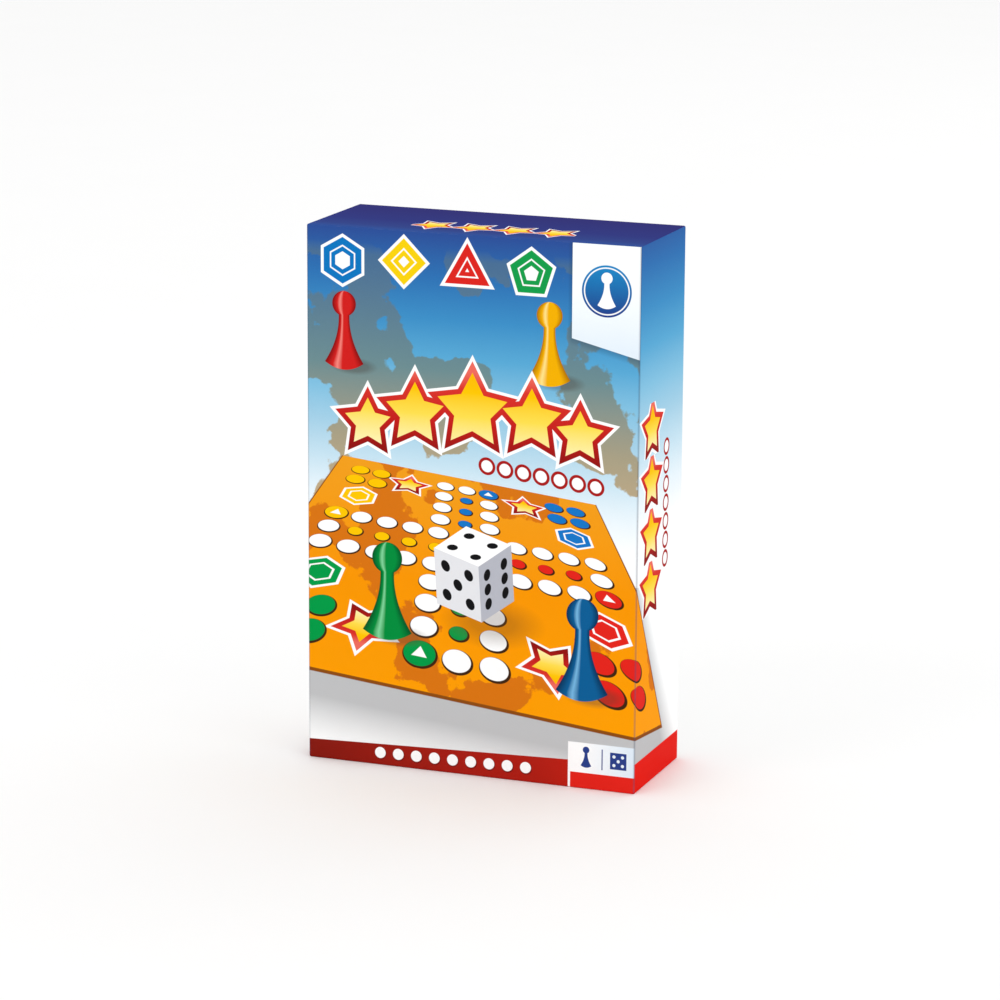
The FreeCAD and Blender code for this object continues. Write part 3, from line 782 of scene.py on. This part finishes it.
def smoothed(name):
    """Shades a CAD node smooth over its gentle edges, by a modifier."""
    group = bpy.data.node_groups.new(f"{name}_smooth", "GeometryNodeTree")
    for way in ("INPUT", "OUTPUT"):
        group.interface.new_socket("Geometry", in_out=way, socket_type="NodeSocketGeometry")
    kinds = ("NodeGroupInput", "GeometryNodeMergeByDistance", "GeometryNodeRemoveAttribute")
    kinds += ("GeometryNodeSetShadeSmooth", "GeometryNodeSetShadeSmooth", "NodeGroupOutput")
    chain = [group.nodes.new(kind) for kind in kinds]
    for one, following in zip(chain, chain[1:]):
        group.links.new(one.outputs[0], following.inputs[0])
    _, merge, forget, faces, edges, _ = chain
    merge.inputs["Distance"].default_value = 0.002 * MM
    forget.inputs["Name"].default_value = "custom_normal"
    faces.domain = "FACE"
    edges.domain = "EDGE"
    edges.inputs["Shade Smooth"].default_value = False
    bend = group.nodes.new("GeometryNodeInputMeshEdgeAngle")
    steep = group.nodes.new("FunctionNodeCompare")
    steep.inputs[1].default_value = math.radians(40)
    group.links.new(bend.outputs[0], steep.inputs[0])
    group.links.new(steep.outputs[0], edges.inputs["Selection"])
    nodes[name].modifiers.new("smooth", "NODES").node_group = group


# ------------------------------------------------------------------ pawns


def arc(middle, radius, first, last, steps):
    """Points of an arc in a turned profile, with angles in degrees."""
    angles = (math.radians(first + (last - first) * k / steps) for k in range(steps + 1))
    return [(middle[0] + radius * math.cos(a), middle[1] + radius * math.sin(a)) for a in angles]


def pawn_profile():
    """(radius, height) in millimetres: hollow foot, round rim, flare, neck and ball head."""
    ball, neck, tall = 3.9, 2.1, 24.0
    middle = tall - ball
    start = math.degrees(math.acos(neck / ball))
    neck_height = middle - ball * math.sin(math.radians(start))
    profile = [(0.0, 3.0), (1.9, 2.7), (3.2, 1.4), (3.8, 0.0)]
    profile += arc((5.5, 0.5), 0.5, -90, 0, 4)
    profile += arc((5.2, 1.2), 0.8, 0, 62, 5)
    low = profile[-1]
    steps = 14
    for k in range(1, steps + 1):
        share = k / steps
        radius = neck + (low[0] - neck) * (1 - share) ** 2.3
        profile.append((radius, low[1] + (neck_height - 0.35 - low[1]) * share))
    profile += arc((0, middle), ball, -start + 4, 90, 18)[:-1]
    profile.append((0.0, tall))
    return profile


def turned_mesh(name, profile, material, sides=40):
    """A turned form that stands along -Y from the origin."""
    form = bmesh.new()
    rings = []
    for radius, height in profile:
        if radius == 0.0:
            rings.append([form.verts.new((0, -height * MM, 0))])
            continue
        ring = []
        for k in range(sides):
            angle = 2 * math.pi * k / sides
            x, z = radius * math.cos(angle) * MM, radius * math.sin(angle) * MM
            ring.append(form.verts.new((x, -height * MM, z)))
        rings.append(ring)
    for lower, upper in zip(rings, rings[1:]):
        for k in range(sides):
            corners = [lower[k % len(lower)], lower[(k + 1) % len(lower)]]
            corners += [upper[(k + 1) % len(upper)], upper[k % len(upper)]]
            form.faces.new(list(dict.fromkeys(corners)))
    bmesh.ops.recalc_face_normals(form, faces=form.faces)
    mesh = bpy.data.meshes.new(name)
    form.to_mesh(mesh)
    form.free()
    mesh.materials.append(material)
    settle(mesh, math.radians(50))
    return mesh


def make_pawns():
    tones = {
        "red": ("#c8120f", "#a80c0c"),
        "yellow": ("#f7b500", "#e09a00"),
        "green": ("#068a3a", "#04702e"),
        "blue": ("#0f63ae", "#0b4f90"),
    }
    profile = pawn_profile()
    for colour, (tone, low) in tones.items():
        material = plastic_material(f"pawn_{colour}", tone, low)
        mesh = turned_mesh(f"pawn_{colour}", profile, material)
        for number in range(1, 5):
            node = f"pawn_{colour}_{number}"
            corner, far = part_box(node)
            made = linked(f"{node}_smooth", mesh)
            made.location = ((corner.x + far.x) / 2, far.y, (corner.z + far.z) / 2)
            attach(made, node)
            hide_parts(node)


# ------------------------------------------------------------------ die

PIPS = {  # by the axis that a side faces along and which way, in spacings along the other two axes
    (0, 1): [(-1, -1), (0, 0), (1, 1)],
    (0, -1): [(-1, -1), (-1, 1), (1, -1), (1, 1)],
    (1, 1): [(-1, 1), (1, -1)],
    (1, -1): [(-1, -1), (-1, 1), (0, 0), (1, -1), (1, 1)],
    (2, 1): [(-1, -1), (-1, 0), (-1, 1), (1, -1), (1, 0), (1, 1)],
    (2, -1): [(0, 0)],
}


def make_die():
    """A cube with round edges and dished pips."""
    low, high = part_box("die")
    half = (high.x - low.x) / 2
    pitch, reach, dish = 3.6 * MM, 1.3 * MM, 0.5 * MM
    radius = (reach * reach + dish * dish) / (2 * dish)  # of the balls that cut the pips
    cube = bmesh.new()
    bmesh.ops.create_cube(cube, size=2 * half)
    bmesh.ops.bevel(
        cube, geom=cube.edges[:], offset=1.3 * MM, segments=5, profile=0.5, affect="EDGES"
    )
    mesh = bpy.data.meshes.new("die_round")
    cube.to_mesh(mesh)
    cube.free()
    mesh.materials.append(plastic_material("die_white", "#f7f7f4", "#ecece8", 0.12))
    mesh.materials.append(plastic_material("die_pips", "#0c0c0e", "#18181b", 0.3))
    made = linked("die_round", mesh)

    balls = bmesh.new()
    spots = []
    for (axis, side), places in PIPS.items():
        first, second = (k for k in range(3) if k != axis)
        for a, b in places:
            spot = Vector()
            spot[axis] = side * half
            spot[first] = a * pitch
            spot[second] = b * pitch
            spots.append((spot, axis))
            out = spot.copy()
            out[axis] += side * (radius - dish)
            bmesh.ops.create_uvsphere(
                balls, u_segments=24, v_segments=16, radius=radius, matrix=Matrix.Translation(out)
            )
    cutter_mesh = bpy.data.meshes.new("die_cutter")
    balls.to_mesh(cutter_mesh)
    balls.free()
    cutter = linked("die_cutter", cutter_mesh)
    carve = made.modifiers.new("pips", "BOOLEAN")
    carve.operation = "DIFFERENCE"
    carve.solver = "EXACT"
    carve.object = cutter
    view = bpy.context.evaluated_depsgraph_get()
    done = bpy.data.meshes.new_from_object(made.evaluated_get(view))
    made.modifiers.clear()
    made.data = done
    bpy.data.objects.remove(cutter)

    for face in done.polygons:
        near = min(spots, key=lambda s: (s[0] - face.center).length)
        sunk = half - abs(face.center[near[1]]) > 0.02 * MM
        face.material_index = int(sunk and (near[0] - face.center).length < reach)
    settle(done, math.radians(28))
    made.location = (low + high) / 2
    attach(made, "die")
    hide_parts("die")


# ------------------------------------------------------------------ camera, floor and light


def make_camera():
    """The photograph's view, worked out from the box's seven corners in it."""
    turn, lift, roll = (math.radians(angle) for angle in (20.748, 13.237, 0.344))
    aim = Vector((1.8, 0.0, 90.85)) * MM
    distance = 1384.49
    data = bpy.data.cameras.new("camera")
    data.sensor_width = 36.0
    data.lens = 147.34
    data.clip_start = 0.05
    data.clip_end = 50.0
    camera = linked("camera", data)
    bpy.context.scene.camera = camera
    level = math.cos(lift)
    look = Vector((-math.sin(turn) * level, math.cos(turn) * level, -math.sin(lift)))
    right = look.cross(Vector((0, 0, 1))).normalized()
    up = right.cross(look)
    tilted_right = math.cos(roll) * right + math.sin(roll) * up
    tilted_up = math.cos(roll) * up - math.sin(roll) * right
    axes = Matrix((tilted_right, tilted_up, -look)).transposed()
    camera.matrix_world = Matrix.Translation(aim - look * distance * MM) @ axes.to_4x4()


LAMPS = (  # name, place and size in metres, and power in watts
    ("key", (-0.9, -1.5, 1.6), 0.8, 3.0),
    ("fill", (1.8, -0.9, 0.9), 1.4, 2.0),
    ("back", (0.6, 1.6, 1.3), 1.2, 2.0),
)


def make_stage():
    """A plain pale floor, a white room and large soft lights."""
    edge = 6.0
    corners = [(-edge, -edge, 0), (edge, -edge, 0), (edge, edge, 0), (-edge, edge, 0)]
    mesh = bpy.data.meshes.new("floor")
    mesh.from_pydata(corners, [], [(0, 1, 2, 3)])
    paint = Paint("floor")
    tone = paint.over("#fbfbfb", paint.noise(60.0, 3.0) * 0.5, "#f8f8f7")
    mesh.materials.append(paint.finished(Base_Color=tone, Roughness=0.85))
    linked("floor", mesh)

    # the room is dimmer in reflections, so that gloss doesn't grey what is printed
    world = bpy.data.worlds.new("studio")
    world.use_nodes = True
    backdrop = world.node_tree.nodes["Background"]
    backdrop.inputs["Color"].default_value = (1, 1, 1, 1)
    ray = world.node_tree.nodes.new("ShaderNodeLightPath")
    strength = Field(world.node_tree, ray.outputs["Is Glossy Ray"]) * -0.55 + 1.02
    plug(world.node_tree, backdrop.inputs["Strength"], strength)
    bpy.context.scene.world = world
    bpy.context.scene.view_settings.view_transform = "Standard"
    aim = Vector((0, 0, 0.09))
    for name, place, size, watts in LAMPS:
        light = bpy.data.lights.new(name, "AREA")
        light.size = size
        light.energy = watts
        lamp = linked(name, light)
        lamp.location = place
        lamp.rotation_euler = (aim - Vector(place)).to_track_quat("-Z", "Y").to_euler()


make_camera()
make_stage()
dress_all()
make_pawns()
make_die()
